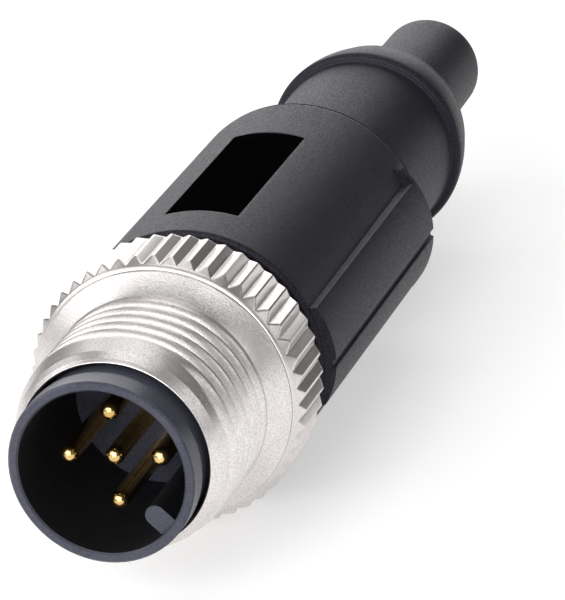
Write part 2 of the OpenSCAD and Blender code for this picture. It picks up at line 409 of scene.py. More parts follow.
def grain_group() -> bpy.types.NodeTree:
    """Shared surface grain: fine noise over a broader cloud, from Object coordinates.

    Height is the fine grain, Tone a slow cloud from 0 to 1, Fleck the grain's brightest points.

    Returns:
        The node group.
    """
    known = bpy.data.node_groups.get("surface_grain")
    if known:
        return known
    tree = bpy.data.node_groups.new("surface_grain", "ShaderNodeTree")
    for name in ("Grain Scale", "Cloud Scale"):
        tree.interface.new_socket(name=name, in_out="INPUT", socket_type="NodeSocketFloat")
    for name in ("Height", "Tone", "Fleck"):
        tree.interface.new_socket(name=name, in_out="OUTPUT", socket_type="NodeSocketFloat")
    n = Nodes(tree)
    given, out = n.add("NodeGroupInput"), n.add("NodeGroupOutput")
    place = n.add("ShaderNodeTexCoord").outputs["Object"]
    fine = n.noise(place, given.outputs["Grain Scale"], 3.0, 0.6)
    cell = n.add("ShaderNodeTexVoronoi", feature="SMOOTH_F1")
    n.feed(cell, "Vector", place)
    n.feed(cell, "Scale", given.outputs["Grain Scale"])
    pits = n.span(cell.outputs["Distance"], 0.1, 0.8, (0.0, 1.0))
    height = n.math("ADD", n.math("MULTIPLY", fine, 0.85), n.math("MULTIPLY", pits, 0.15))
    n.feed(out, "Height", height)
    n.feed(out, "Tone", n.noise(place, given.outputs["Cloud Scale"], 4.0, 0.55))
    n.feed(out, "Fleck", n.span(fine, 0.44, 0.6, (0.0, 1.0)))
    return tree


@dataclass(frozen=True)
class Finish:
    """One surface finish, drawn with the shared grain.

    Attributes:
        slot: Record slot that the finish belongs to.
        colour: Colour of the plain surface.
        shade: Colour in the cloud's dark places.
        rough: Roughness of the plain surface.
        rough_spread: How far the roughness moves with the grain.
        metal: 1 for metal and 0 otherwise.
        grain_mm: Width of one grain.
        grain_depth_mm: Height of the grain.
        cloud_mm: Width of the slow cloud.
        specular: Specular level.
        tint: Colour of the reflections of a plastic.
        fleck: Colour of the grain's flecks.
        fleck_share: How strongly the flecks show, from 0 to 1.
    """

    slot: Slot
    colour: tuple[float, float, float]
    shade: tuple[float, float, float]
    rough: float
    rough_spread: float = 0.08
    metal: float = 0.0
    grain_mm: float = 0.1
    grain_depth_mm: float = 0.004
    cloud_mm: float = 6.0
    specular: float = 0.5
    tint: tuple[float, float, float] = (1.0, 1.0, 1.0)
    fleck: tuple[float, float, float] = (0.5, 0.5, 0.5)
    fleck_share: float = 0.0

    def start(self) -> tuple[bpy.types.Material, Nodes, bpy.types.Node, bpy.types.Node]:
        """Makes the material with its Principled shader and grain group.

        Returns:
            The material, the wiring helper, the shader and the grain node.
        """
        material = bpy.data.materials.new(self.slot.value)
        material.use_nodes = True
        n = Nodes(material.node_tree)
        shader = material.node_tree.nodes["Principled BSDF"]
        shader.inputs["Metallic"].default_value = self.metal
        shader.inputs["Specular IOR Level"].default_value = self.specular
        shader.inputs["Specular Tint"].default_value = socket_colour(self.tint)
        grain = n.add("ShaderNodeGroup", node_tree=grain_group())
        n.feed(grain, "Grain Scale", 1 / (self.grain_mm * MM))
        n.feed(grain, "Cloud Scale", 1 / (self.cloud_mm * MM))
        return material, n, shader, grain

    def close(
        self,
        n: Nodes,
        shader: bpy.types.Node,
        grain: bpy.types.Node,
        colour: object,
        rough: object,
        height: object = None,
    ) -> None:
        """Feeds colour, roughness and bump into the shader.

        Args:
            n: Wiring helper.
            shader: Principled shader.
            grain: Grain group node.
            colour: Colour socket.
            rough: Roughness socket.
            height: Extra height in millimetres, added to the grain.
        """
        n.feed(shader, "Base Color", colour)
        n.feed(shader, "Roughness", rough)
        total = n.math("MULTIPLY", grain.outputs["Height"], self.grain_depth_mm * MM)
        if height is not None:
            total = n.math("ADD", total, n.math("MULTIPLY", height, MM))
        bump = n.add("ShaderNodeBump")
        n.feed(bump, "Strength", 1.0)
        n.feed(bump, "Distance", 1.0)
        n.feed(bump, "Height", total)
        n.feed(shader, "Normal", bump.outputs["Normal"])

    def parts(self, n: Nodes, grain: bpy.types.Node) -> tuple[bpy.types.NodeSocket, bpy.types.NodeSocket]:
        """The plain colour and roughness over the grain.

        Args:
            n: Wiring helper.
            grain: Grain group node.

        Returns:
            Colour and roughness sockets.
        """
        cloud = n.span(grain.outputs["Tone"], 0.35, 0.65, (0.0, 1.0))
        colour = n.mix(cloud, socket_colour(self.shade), socket_colour(self.colour))
        if self.fleck_share > 0:
            flecks = n.math("MULTIPLY", grain.outputs["Fleck"], self.fleck_share)
            colour = n.mix(flecks, colour, socket_colour(self.fleck))
        low, high = self.rough - self.rough_spread, self.rough + self.rough_spread
        return colour, n.span(grain.outputs["Height"], 0.3, 0.7, (low, high))

    def material(self) -> bpy.types.Material:
        """The finished material, with colour, roughness and bump from the grain.

        Returns:
            The material.
        """
        material, n, shader, grain = self.start()
        colour, rough = self.parts(n, grain)
        self.close(n, shader, grain, colour, rough)
        return material


@dataclass(frozen=True)
class PlatedNutWithGrooveShade(Finish):
    """Satin nickel plating with painted shade deep in its grooves, which turns it darker and brownish there.

    Attributes:
        hollow: Colour of the painted shade deep in a groove.
        hollow_rough: Roughness deep in a groove.
    """

    hollow: tuple[float, float, float] = (0.44, 0.41, 0.385)
    hollow_rough: float = 0.5

    def material(self) -> bpy.types.Material:
        """The plating, with painted shade mixed in where the mesh's hollow value is high.

        Returns:
            The material.
        """
        material, n, shader, grain = self.start()
        colour, rough = self.parts(n, grain)
        # Painted shade: the mesh's hollow value darkens the plating deep in grooves and V's, and makes it
        # brownish.
        hollow = n.add("ShaderNodeAttribute", attribute_name="hollow").outputs["Fac"]
        uneven = n.math("ADD", hollow, n.math("MULTIPLY", grain.outputs["Tone"], 0.2))
        depth = n.span(uneven, 0.25, 1.0, (0.0, 1.0))
        colour = n.mix(depth, colour, socket_colour(self.hollow))
        rough = n.math("ADD", rough, n.math("MULTIPLY", depth, self.hollow_rough - self.rough))
        self.close(n, shader, grain, colour, rough)
        return material


@dataclass(frozen=True)
class ShroudWithBoreShade(Finish):
    """Dark moulded plastic with painted shade that makes its bore nearly black, while its floor and the key's
    face stay lighter.

    Attributes:
        bore: Colour of the painted shade on the bore's wall.
        bore_radius: Radius inside which a surface belongs to the bore, in millimetres.
        axis_height: Height of the bore's axis, in millimetres.
    """

    bore: tuple[float, float, float] = (0.0012, 0.0012, 0.0018)
    bore_radius: float = 4.8
    axis_height: float = 7.64

    def material(self) -> bpy.types.Material:
        """The plastic, with painted shade that darkens walls inside the bore radius that don't face the
        mating end.

        Returns:
            The material.
        """
        material, n, shader, grain = self.start()
        colour, rough = self.parts(n, grain)
        place = n.add("ShaderNodeSeparateXYZ")
        n.feed(place, "Vector", n.add("ShaderNodeTexCoord").outputs["Object"])
        rise = n.math("SUBTRACT", place.outputs["Z"], self.axis_height * MM)
        across = n.math("POWER", place.outputs["X"], 2.0)
        radius = n.math("SQRT", n.math("ADD", across, n.math("POWER", rise, 2.0)))
        inside = n.span(radius, (self.bore_radius - 0.1) * MM, self.bore_radius * MM, (1.0, 0.0))
        facing = n.add("ShaderNodeSeparateXYZ")
        n.feed(facing, "Vector", n.add("ShaderNodeNewGeometry").outputs["Normal"])
        wall = n.span(facing.outputs["Y"], -0.8, -0.5, (0.0, 1.0))
        # Painted shade: bore walls that don't face the mating end are coloured nearly black and made rougher.
        dark = n.math("MULTIPLY", inside, wall)
        colour = n.mix(dark, colour, socket_colour(self.bore))
        rough = n.math("ADD", rough, n.math("MULTIPLY", dark, 0.3))
        self.close(n, shader, grain, colour, rough)
        return material


# ---------------------------------------------------------------- sub-assemblies


def mount_radius(name: str) -> float:
    """Radius in millimetres that the record gives for a mount."""
    mounts = {mount["name"]: mount for mount in frame["record"]["mounts"]}
    return mounts[name]["dims"]["r_mm"]


def dress(piece: bpy.types.Object, body: Body, finish: bpy.types.Material, slot: Slot, *nodes: str) -> None:
    """Gives a new piece its finish and body, and hides the solids that it stands for.

    Args:
        piece: The new piece.
        body: Body that it moves with.
        finish: Its material.
        slot: Record slot of the finish; not used.
        *nodes: Solids that it replaces.
    """
    piece.data.materials.append(finish)
    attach(piece, body.value)
    if nodes:
        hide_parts(*nodes)
    LOG.info("%s: %d faces on %s", piece.name, len(piece.data.polygons), body.value)


@dataclass
class CouplingNut:
    """The free-turning nut: lead-in cone, metric thread, flare and ribbed ring, in millimetres.

    Attributes:
        axis: The plug's axis.
        pitch: Thread pitch.
        thread_depth: Depth of the thread's groove.
        groove_half: Half of the groove's width at the crest.
        flank: Share of the groove's depth that falls evenly, while the rest falls with the square.
        start_station: Station where the groove starts.
        start_angle: Angle where the groove starts, from +X towards +Z, in degrees.
        lead_in: Length of the cone in front of the thread.
        nose_len: Length of the cone's first, steeper step.
        nose_radius: Radius where that step ends.
        face_step: How much the front face's radius lies under the thread's.
        bore_play: How much the front bore lies under the face's radius.
        flare: Length of the flare behind the thread.
        ribbed: Length of the ribbed ring.
        rib_depth: How far the ring's root lies under the ribs' tops.
        rib_bevel: Bevel at the ribs' ends.
        rib_count: Number of ribs.
        top_share: Half of a rib's flat top, as a share of the rib pitch.
        foot_share: Half of a rib's foot, as a share of the rib pitch.
        vee_depth: Depth of the V between two ribs.
        rim_step: How much the flare's rear edge lies under the ring's root; below 0 it lies over it.
        rim_width: Width of the rim line in front of the ribs.
        rim_rise: Height of that rim over the ring's root.
        line_shade: Strength of the painted shade line between thread and flare, from 0 to 1.
        lip: Length of the inner lip.
        lip_radius: Radius of the inner lip.
        wall: Thickness of the sleeve where it reaches under the ring.
        columns: Columns of the sleeve's grid round the axis.
        stations: Stations of the nut's steps, worked out from the frame.
    """

    axis: PlugAxis
    pitch: float = 1.0
    thread_depth: float = 0.5
    groove_half: float = 0.44
    flank: float = 0.45
    start_station: float = 3.55
    start_angle: float = 67.0
    lead_in: float = 1.8
    nose_len: float = 0.6
    nose_radius: float = 5.64
    face_step: float = 0.72
    bore_play: float = 0.16
    flare: float = 1.12
    ribbed: float = 4.27
    rib_depth: float = 0.52
    rib_bevel: float = 0.46
    rib_count: int = 48
    top_share: float = 0.055
    foot_share: float = 0.475
    vee_depth: float = 0.31
    rim_step: float = -0.03
    rim_width: float = 0.2
    rim_rise: float = 0.18
    line_shade: float = 0.5
    lip: float = 2.2
    lip_radius: float = 4.63
    wall: float = 0.35
    columns: int = 420
    stations: dict[str, float] = field(default_factory=dict)

    def __post_init__(self) -> None:
        """Works the stations and radii out from the frame."""
        low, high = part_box("coupling_nut")
        self.crest = mount_radius("thread")
        self.outer = (high.x - low.x) / 2 / MM
        self.root = self.outer - self.rib_depth
        self.face_radius = self.crest - self.face_step
        self.bore = self.face_radius - self.bore_play
        front, rear = self.axis.station(low.y), self.axis.station(high.y)
        ring = rear - self.ribbed
        self.stations = {
            "front": front,
            "thread": front + self.lead_in,
            "flare": ring - self.flare,
            "ring": ring,
            "rear": rear,
        }

    def groove(self, s: np.ndarray, theta: np.ndarray) -> np.ndarray:
        """Depth of the right-hand thread's groove below the crest.

        The groove's middle lies at start + pitch * (n + phi / turn), where phi grows clockwise
        seen from the front. Across it the depth is v * (flank + (1 - flank) * v), where v falls
        from 1 in the middle to 0 at the edges. It fades in over a fifth of a turn at the start,
        and out where the flare begins.

        Args:
            s: Stations, as a column.
            theta: Angles, as a row.

        Returns:
            Depths in millimetres.
        """
        fade_turns, fade_len = 0.2, 0.1
        flare = self.stations["flare"]
        phi = np.mod(np.radians(self.start_angle) - theta, TURN) / TURN
        u = (s - self.start_station) / self.pitch - phi
        turn = np.round(u)
        across = np.abs(u - turn) * self.pitch / self.groove_half
        travelled = turn + phi
        middle = self.start_station + self.pitch * travelled
        live = ramp(travelled, 0.0, fade_turns) * (1 - ramp(middle, flare - fade_len, flare + fade_len))
        vee = np.clip(1 - across, 0.0, 1.0)
        shape = vee * (self.flank + (1 - self.flank) * vee)
        return self.thread_depth * shape * live * (turn >= 0)

    def skin(self, s: np.ndarray) -> np.ndarray:
        """Outer radius of the sleeve before its groove is cut.

        It rises over the cone's two steps to the crest, and behind the thread by t^1.15 over the
        flare to the ring's root, with a small drop at the very end.

        Args:
            s: Stations.

        Returns:
            Radii in millimetres.
        """
        st = self.stations
        front, thread, flare, ring = st["front"], st["thread"], st["flare"], st["ring"]
        ease, end_drop = 0.045, 0.07
        r = np.interp(
            s,
            [front, front + self.nose_len, thread - 0.12, thread + 0.1, flare, ring],
            [self.face_radius, self.nose_radius, self.crest - ease, self.crest, self.crest, self.root],
        )
        t = np.clip((s - flare) / (ring - flare), 0, 1)
        r = np.where(s > flare, self.crest + (self.root - self.rim_step - self.crest) * t**1.15, r)
        return r - end_drop * ramp(s, ring - end_drop, ring - 0.01)

    def sleeve(self) -> bpy.types.Object:
        """Front sleeve: a closed turned loop whose outside carries the helical groove.

        Returns:
            The sleeve.
        """
        st = self.stations
        front, thread, flare, ring = st["front"], st["thread"], st["flare"], st["ring"]
        edge, bevel, tail, play = 0.08, 0.12, 0.5, 0.02
        inner = self.root - self.wall
        s = spread([front + bevel, thread, flare, flare + 0.3, ring - bevel, ring], 0.04)[1:]
        ahead = np.vstack([
            [[front + bevel, self.bore], [front + edge / 2, self.bore + edge]],
            arc(front + edge, self.face_radius - edge, edge, -90, -10, 5),
        ])
        behind = np.array([
            [ring + play, inner],
            [ring + tail, inner],
            [ring + tail, self.bore + self.wall],
            [ring, self.bore + play],
            [ring, self.bore],
            [front + 2.0, self.bore],
        ])
        path = np.vstack([ahead, np.column_stack([s, self.skin(s)]), behind])
        theta = np.linspace(0, TURN, self.columns, endpoint=False)[None, :]
        stations, radii = path[:, :1], path[:, 1:]
        cut = np.zeros((len(path), self.columns))
        outside = slice(len(ahead), len(ahead) + len(s))
        cut[outside] = self.groove(stations[outside], theta)
        # Painted shade: the hollow value darkens the thread's groove, a line between thread and flare, and
        # the sleeve where it reaches under the ring.
        hollow = np.clip(cut / self.thread_depth, 0, 1) ** 3 * 0.95
        hollow = np.maximum(hollow, self.line_shade * (1 - ramp(np.abs(stations - flare), 0.03, 0.09)))
        hollow = np.maximum(hollow, 1.0 * (stations > ring - 0.05))
        points = self.axis.points(stations, radii - cut, theta)
        return grid_mesh("nut_thread_sleeve", points, Wrap.LOOP, {"hollow": hollow})

    def rib_columns(self) -> np.ndarray:
        """Where the grid's columns stand across one rib, closer together at the V's corners.

        Returns:
            Shares of the rib pitch from -0.5, with the middle of the rib's top at 0.
        """
        top, foot, corner = self.top_share, self.foot_share, 0.02
        half = [0.0, top * 0.8, top, top + corner, 0.16, 0.26, 0.36, foot - corner, foot]
        return np.array([-0.5, *(-share for share in half[:0:-1]), *half])

    def ring_piece(self) -> bpy.types.Object:
        """Ribbed ring: narrow flat tops with a V between them, behind a low plain rim.

        Across a rib pitch the height falls evenly from the top's edge to the foot. Along the
        ring it is held under the blank's outline, which bevels both ends of the ribs.

        Returns:
            The ring.
        """
        st = self.stations
        ring, rear = st["ring"], st["rear"]
        shares = self.rib_columns()
        pitch = TURN / self.rib_count
        theta = ((np.arange(self.rib_count)[:, None] + shares[None, :]) * pitch).reshape(1, -1)
        share = np.tile(np.abs(shares), self.rib_count)[None, :]
        rib = np.clip((self.foot_share - share) / (self.foot_share - self.top_share), 0, 1)
        play = 0.02
        edge = self.rim_width + play
        s = spread([ring + play, ring + edge, ring + 0.75, rear - 0.6, rear - play], 0.05)
        rise, full = self.rim_rise, self.rib_depth
        full_from, full_to = ring + edge + self.rib_bevel, rear - self.rib_bevel
        blank = np.interp(
            s,
            [ring, ring + 0.13, ring + edge, full_from, full_to, rear - 0.05, rear],
            [0.0, rise - 0.03, rise + 0.02, full, full, rise, rise - 0.07],
        )[:, None]
        floor = full - self.vee_depth
        in_rim = s[:, None] < ring + self.rim_width
        ribs = np.where(in_rim, full, floor + rib * (full - floor))
        height = np.clip(np.minimum(blank, ribs), 0.0, full)
        lead = np.array([[ring, self.bore + 0.4], [ring, self.root - 0.3], [ring, self.root - 0.03]])
        tail = np.array([
            [rear, self.root - 0.02],
            [rear, self.root - 0.3],
            [rear, self.lip_radius + 0.1],
            [rear - 0.1, self.lip_radius],
            [rear - self.lip, self.lip_radius],
            [rear - self.lip, self.bore],
            [ring + 0.3, self.bore],
        ])
        stations = np.concatenate([lead[:, 0], s, tail[:, 0]])[:, None]
        radii = np.empty((len(stations), theta.size))
        hollow = np.zeros_like(radii)
        outside = slice(len(lead), len(lead) + len(s))
        radii[: len(lead)] = lead[:, 1:]
        radii[outside] = self.root + height
        radii[-len(tail):] = tail[:, 1:]
        # Painted shade: the hollow value darkens the plating deep in each V between the ribs.
        hollow[outside] = 0.5 * np.clip((blank - height) / (full - floor), 0, 1) ** 2
        points = self.axis.points(stations, radii, theta)
        return grid_mesh("nut_ribbed_ring", points, Wrap.LOOP, {"hollow": hollow})

    def build(self, finish: bpy.types.Material, ribbed_finish: bpy.types.Material) -> None:
        """Builds and dresses both pieces of the nut.

        Args:
            finish: The sleeve's grained plating.
            ribbed_finish: The ribbed ring's smoother plating, coloured darker as painted shade.
        """
        dress(self.sleeve(), Body.NUT, finish, Slot.NUT, "coupling_nut")
        dress(self.ring_piece(), Body.NUT, ribbed_finish, Slot.NUT, "coupling_nut")


@dataclass
class ContactSet:
    """The five plated pins, turned with a domed tip, in millimetres.

    Attributes:
        axis: The plug's axis.
        dome: How far the dome reaches back from the tip.
        cup_len: Length of the wide rear end with its solder cup.
        cup_depth: Depth of the solder cup.
        cup_wall: Wall of the solder cup.
        columns: Columns of a pin's grid round its axis.
    """

    axis: PlugAxis
    dome: float = 0.5
    cup_len: float = 2.8
    cup_depth: float = 1.9
    cup_wall: float = 0.25
    columns: int = 40

    def pin(self, node: str, name: str) -> bpy.types.Object:
        """One pin as a turned surface whose tip is half an ellipse.

        Near the tip the radius is r * sqrt(1 - (1 - t)^2) for t from 0 to 1 over the dome.

        Args:
            node: The solid it stands for.
            name: Name of the piece.

        Returns:
            The pin.
        """
        low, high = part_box(node)
        cx, cz = (low.x + high.x) / 2 / MM, (low.z + high.z) / 2 / MM
        tip, end = self.axis.station(low.y), self.axis.station(high.y)
        cup = (high.x - low.x) / 2 / MM
        shaft = mount_radius("centre_contact")
        t = np.linspace(0.06, 1, 14)
        dome = np.column_stack([tip + self.dome * t, shaft * np.sqrt(1 - (1 - t) ** 2)])
        cup_front, bore, edge = end - self.cup_len, cup - self.cup_wall, 0.02
        body = np.array([
            [tip + 1.2, shaft],
            [cup_front - 0.6, shaft],
            [cup_front - 0.4, shaft],
            [cup_front, cup],
            [cup_front + edge, cup],
            [end - edge, cup],
            [end, cup - edge],
            [end, bore + edge],
            [end - edge, bore],
            [end - self.cup_depth, bore],
            [end - self.cup_depth, edge],
        ])
        path = np.vstack([[[tip, 0.01]], dome, body])
        theta = np.linspace(0, TURN, self.columns, endpoint=False)[None, :]
        points = self.axis.points(path[:, :1], path[:, 1:], theta)
        points[..., 0] += cx * MM
        points[..., 2] += cz * MM - self.axis.height * MM
        return grid_mesh(name, points, Wrap.POLES)

    def build(self, finish: bpy.types.Material) -> None:
        """Builds and dresses the five pins.

        Args:
            finish: Their plating.
        """
        for where in ("right", "top", "left", "bottom", "centre"):
            node = f"contact_pin_{where}"
            dress(self.pin(node, f"pin_{where}"), Body.PLUG, finish, Slot.CONTACT, node)


@dataclass
class Grip:
    """The moulded grip, neck, flange and stub as one turned and carved surface, in millimetres.

    Attributes:
        axis: The plug's axis.
        length: Length from the grip's front edge to its rear edge.
        draft: Radius lost over the grip's length.
        rounding: Rounding of the grip's edges.
        step: How much the grip's radius lies under the pads'.
        pad_half: Half of a side pad's height.
        pad_curve: Radius of the rounding of a pad's face.
        pad_short: Distance from a pad's rear end to the grip's rear edge.
        pad_start: How far a pad starts behind the grip's front edge.
        channel_half: Half of the width of the channel along a pad.
        channel_depth: Depth of the channel.
        channel_drop: How far the channel's middle lies below the axis.
        gusset_len: Length of the sloped gusset at a pad's rear end.
        gusset_rise: Height of the gusset above the pad.
        gusset_lean: Angle of the gusset's face up from the side, in degrees.
        gusset_sweep: Angle of the gusset's face towards the rear, in degrees.
        field_half: Half of the bare rating field's width.
        field_len: Length of the field.
        field_start: Distance from the grip's front edge to the field.
        field_depth: Depth of the field below its straight edges.
        bore: Radius of the hollow that the inner mould fills.
        waist: Radius of the neck next to the grip.
        waist_end: Radius of the neck next to the flange.
        waist_len: Length of the neck.
        flange: Largest radius of the flange.
        flange_len: Thickness of the flange.
        flange_rear: Radius of the flange's rear edge.
        stub: Radius of the stub next to the flange.
        stub_end: Radius of the stub next to its end.
        stub_round: Rounding of the stub's end.
        blend: Radius of the hollow blend between flange and stub.
    """

    axis: PlugAxis
    length: float = 20.75
    draft: float = 0.09
    rounding: float = 0.3
    step: float = 0.62
    pad_half: float = 2.79
    pad_curve: float = 5.05
    pad_short: float = 0.72
    pad_start: float = 0.06
    channel_half: float = 0.2
    channel_depth: float = 0.2
    channel_drop: float = 0.36
    gusset_len: float = 1.2
    gusset_rise: float = 0.92
    gusset_lean: float = 33.0
    gusset_sweep: float = 26.0
    field_half: float = 2.06
    field_len: float = 12.4
    field_start: float = 3.25
    field_depth: float = 0.1
    bore: float = 5.32
    waist: float = 5.12
    waist_end: float = 5.38
    waist_len: float = 11.9
    flange: float = 5.87
    flange_len: float = 3.95
    flange_rear: float = 5.3
    stub: float = 3.2
    stub_end: float = 3.1
    stub_round: float = 0.45
    blend: float = 0.7

    def __post_init__(self) -> None:
        """Works the stations and the pads' radius out from the frame."""
        low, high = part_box("grip_body")
        self.front = self.axis.station(low.y)
        self.end = self.axis.station(high.y)
        self.pad = (high.x - low.x) / 2 / MM
        self.radius = self.pad - self.step
        self.rear = self.front + self.length
        self.pad_end = self.rear - self.pad_short
        self.field_front = self.front + self.field_start
        self.field_rear = self.front + self.field_start + self.field_len
        self.bore_end = self.axis.station(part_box("inner_mould")[1].y) + 0.02

    def profile(self) -> np.ndarray:
        """Outline from the bore's floor over the grip to the stub's end.

        Returns:
            The outline's points, as (station, radius).
        """
        rd, rear_r = self.rounding, self.radius - self.draft
        flange_s = self.rear + self.waist_len
        flange_e = flange_s + self.flange_len
        corner, edge, straight = 9, 0.42, 0.8
        return np.vstack([
            self.mouth(),
            arc(self.front + rd, self.radius - rd, rd, -90, -4, corner),
            self.barrel(rear_r),
            self.seam(rear_r),
            self.hollow(self.rear, self.waist, rd, corner),
            self.taper(
                spread([self.rear + rd, flange_s - 0.25], straight)[1:],
                (self.rear, flange_s),
                (self.waist, self.waist_end),
            ),
            self.hollow_rise(flange_s, self.waist_end, 0.22, 6),
            arc(flange_s + edge, self.flange - edge, edge, -90, -4, 12),
            self.flange_back(flange_s + edge, self.flange_len - self.blend - edge),
            arc(flange_e - self.blend, self.flange_rear - self.blend, self.blend, 8, 90, 12),
            self.hollow(flange_e, self.stub, self.blend, 10),
            self.taper(
                spread([flange_e + self.blend, self.end - self.stub_round], straight)[1:-1],
                (flange_e, self.end),
                (self.stub, self.stub_end),
            ),
            arc(self.end - self.stub_round, self.stub_end - self.stub_round, self.stub_round, 4, 90, 10),
            [[self.end, 1.2], [self.end, 0.1]],
        ])

    def mouth(self) -> np.ndarray:
        """The bore's floor, its wall and the grip's flat front edge, as (station, radius)."""
        return np.array([
            [self.bore_end, self.bore - 0.4],
            [self.bore_end, self.bore - 0.02],
            [self.bore_end - 0.05, self.bore],
            [self.front + 0.1, self.bore],
            [self.front, self.bore + 0.03],
            [self.front, self.radius - self.rounding - 0.1],
        ])

    def barrel(self, rear_r: float) -> np.ndarray:
        """The grip's long side, with rows close together wherever a carved form starts or ends.

        Args:
            rear_r: The grip's radius at its rear edge.

        Returns:
            Points as (station, radius).
        """
        start, end = self.front + self.rounding, self.rear - self.rounding
        rows = spread(
            [
                start,
                start + 0.2,
                self.field_front - 0.1,
                self.field_front + 0.15,
                self.field_rear - 0.15,
                self.field_rear + 0.1,
                self.pad_end - self.gusset_len - 0.05,
                self.pad_end + 0.1,
                end,
            ],
            0.11,
        )
        return self.taper(rows, (start, end), (self.radius, rear_r))[:-1]

    def flange_back(self, s: float, length: float) -> np.ndarray:
        """The flange's long rear slope, which falls with t^1.6 from its edge to its rear radius.

        Args:
            s: Station where the slope starts.
            length: Length of the slope.

        Returns:
            Points as (station, radius).
        """
        t = np.linspace(0, 1, 10)[1:]
        fall = (self.flange - self.flange_rear) * t**1.6
        return np.column_stack([s + t * length, self.flange - fall])

    @staticmethod
    def taper(s: np.ndarray, ends: tuple[float, float], radii: tuple[float, float]) -> np.ndarray:
        """Straight stretch of the outline, at the stations s, between the radii at its two ends."""
        return np.column_stack([s, np.interp(s, ends, radii)])

    def seam(self, r: float) -> np.ndarray:
        """Shallow seam groove and sharp rear edge of the grip, below the radius r."""
        steps = [(0.3, 0.0), (0.26, 0.1), (0.15, 0.12), (0.11, 0.03), (0.05, 0.03), (0.01, 0.06), (0.0, 0.1)]
        return np.array([[self.rear - back, r - down] for back, down in steps])

    @staticmethod
    def hollow(s: float, r: float, radius: float, steps: int) -> np.ndarray:
        """Hollow blend from a rear-facing wall at s down to the radius r."""
        a = np.radians(np.linspace(4, 86, steps))
        return np.column_stack([s + radius * (1 - np.cos(a)), r + radius * (1 - np.sin(a))])

    @staticmethod
    def hollow_rise(s: float, r: float, radius: float, steps: int) -> np.ndarray:
        """Hollow blend from the radius r up to a front-facing wall at s."""
        a = np.radians(np.linspace(4, 86, steps))
        return np.column_stack([s - radius * (1 - np.sin(a)), r + radius * (1 - np.cos(a))])

    def angles(self) -> np.ndarray:
        """Column angles, closer together where the pads, the channel and the field have edges.

        Returns:
            Rising angles in radians, from +X towards +Z.
        """
        pad, grip = self.pad, self.radius
        half, curve = self.pad_half, self.pad_curve
        corner = np.hypot(half, pad - curve + np.sqrt(curve**2 - half**2))
        ledge_out, ledge_in = np.arcsin(half / corner), np.arcsin(half / grip)
        gusset = np.arcsin((half + self.gusset_rise) / grip)
        upper = (-self.channel_drop + self.channel_half) / pad
        lower = (-self.channel_drop - self.channel_half) / pad
        flat = np.arccos(self.field_half / grip)
        e = 0.006
        right = [-gusset - e, -ledge_in - e, -ledge_out + e, lower - e, lower + e]
        right += [upper - e, upper + e, ledge_out - e, ledge_in + e, gusset + e]
        top = [flat - e, flat + 2 * e, np.pi - flat - 2 * e, np.pi - flat + e]
        left = [np.pi - angle for angle in right[::-1]]
        edges = spread([*right, *top, *left, right[0] + TURN], 0.026)
        extra = [
            np.linspace(-ledge_in - e, -ledge_out + e, 9)[1:-1],
            np.linspace(ledge_out - e, ledge_in + e, 9)[1:-1],
            np.linspace(lower - e, lower + e, 5)[1:-1],
            np.linspace(upper - e, upper + e, 5)[1:-1],
        ]
        extra += [np.pi - angles for angles in extra]
        return np.unique(np.round(np.concatenate([edges[:-1], *extra]), 6))

    def pad_surface(self, theta: np.ndarray) -> tuple[np.ndarray, np.ndarray]:
        """Radius of the pads' rounded faces, and of the pads with their ledges and channels.

        A face is a circle of radius R whose middle lies o beside the axis, which from the axis is
        o cos + sqrt(R^2 - o^2 sin^2). The pad is the smaller of that and the ledge, which is
        pad_half / |sin|. Inside the channel it is cut at x = pad - channel_depth.

        Args:
            theta: Angles, as a row.

        Returns:
            The faces' and the pads' radii.
        """
        cos, sin = np.abs(np.cos(theta)), np.abs(np.sin(theta))
        offset, ease = self.pad - self.pad_curve, 0.035
        face = offset * cos + np.sqrt(np.maximum(self.pad_curve**2 - (offset * sin) ** 2, 0))
        pad = soft_min(face, self.pad_half / np.maximum(sin, TINY), 0.05)
        off_middle = np.abs(self.pad * np.sin(theta) + self.channel_drop)
        in_channel = 1 - ramp(off_middle, self.channel_half - ease, self.channel_half + ease)
        cut = (self.pad - self.channel_depth) / np.maximum(cos, TINY)
        return face, pad - np.maximum(pad - cut, 0) * in_channel

    def gusset_surface(self, s: np.ndarray, theta: np.ndarray, face: np.ndarray) -> np.ndarray:
        """Radius of the sloped gussets at the pads' rear ends.

        A gusset is the plane n . p = n . p0 through the ledge's foot, held under its top and the
        pads' faces.

        Args:
            s: Stations, as a column.
            theta: Angles, as a row.
            face: Radii of the pads' faces.

        Returns:
            Radii in millimetres.
        """
        cos, sin = np.abs(np.cos(theta)), np.abs(np.sin(theta))
        lean, sweep = np.radians(self.gusset_lean), np.radians(self.gusset_sweep)
        nx, nz, ns = np.cos(lean) * np.cos(sweep), np.sin(lean) * np.cos(sweep), np.sin(sweep)
        foot_x = np.sqrt(self.radius**2 - self.pad_half**2)
        behind = s - self.pad_end + self.gusset_len
        reach = (nx * foot_x + nz * self.pad_half + ns * behind) / (nx * cos + nz * sin)
        top = (self.pad_half + self.gusset_rise) / np.maximum(sin, TINY)
        return np.minimum(np.minimum(reach, top), face)

    def field_surface(self, theta: np.ndarray) -> np.ndarray:
        """Radius of the rating field, the plane z = height, which from the axis is height / sin.

        Args:
            theta: Angles, as a row.

        Returns:
            Radii in millimetres, far outside the grip where there is no field.
        """
        far, step_out, ease = 99.0, 9.0, 0.04
        height = np.sqrt(self.radius**2 - self.field_half**2) - self.field_depth
        flat = np.where(np.sin(theta) > 0.5, height / np.maximum(np.abs(np.sin(theta)), TINY), far)
        aside = np.abs(self.radius * np.cos(theta))
        return flat + ramp(aside, self.field_half - ease, self.field_half + ease) * step_out

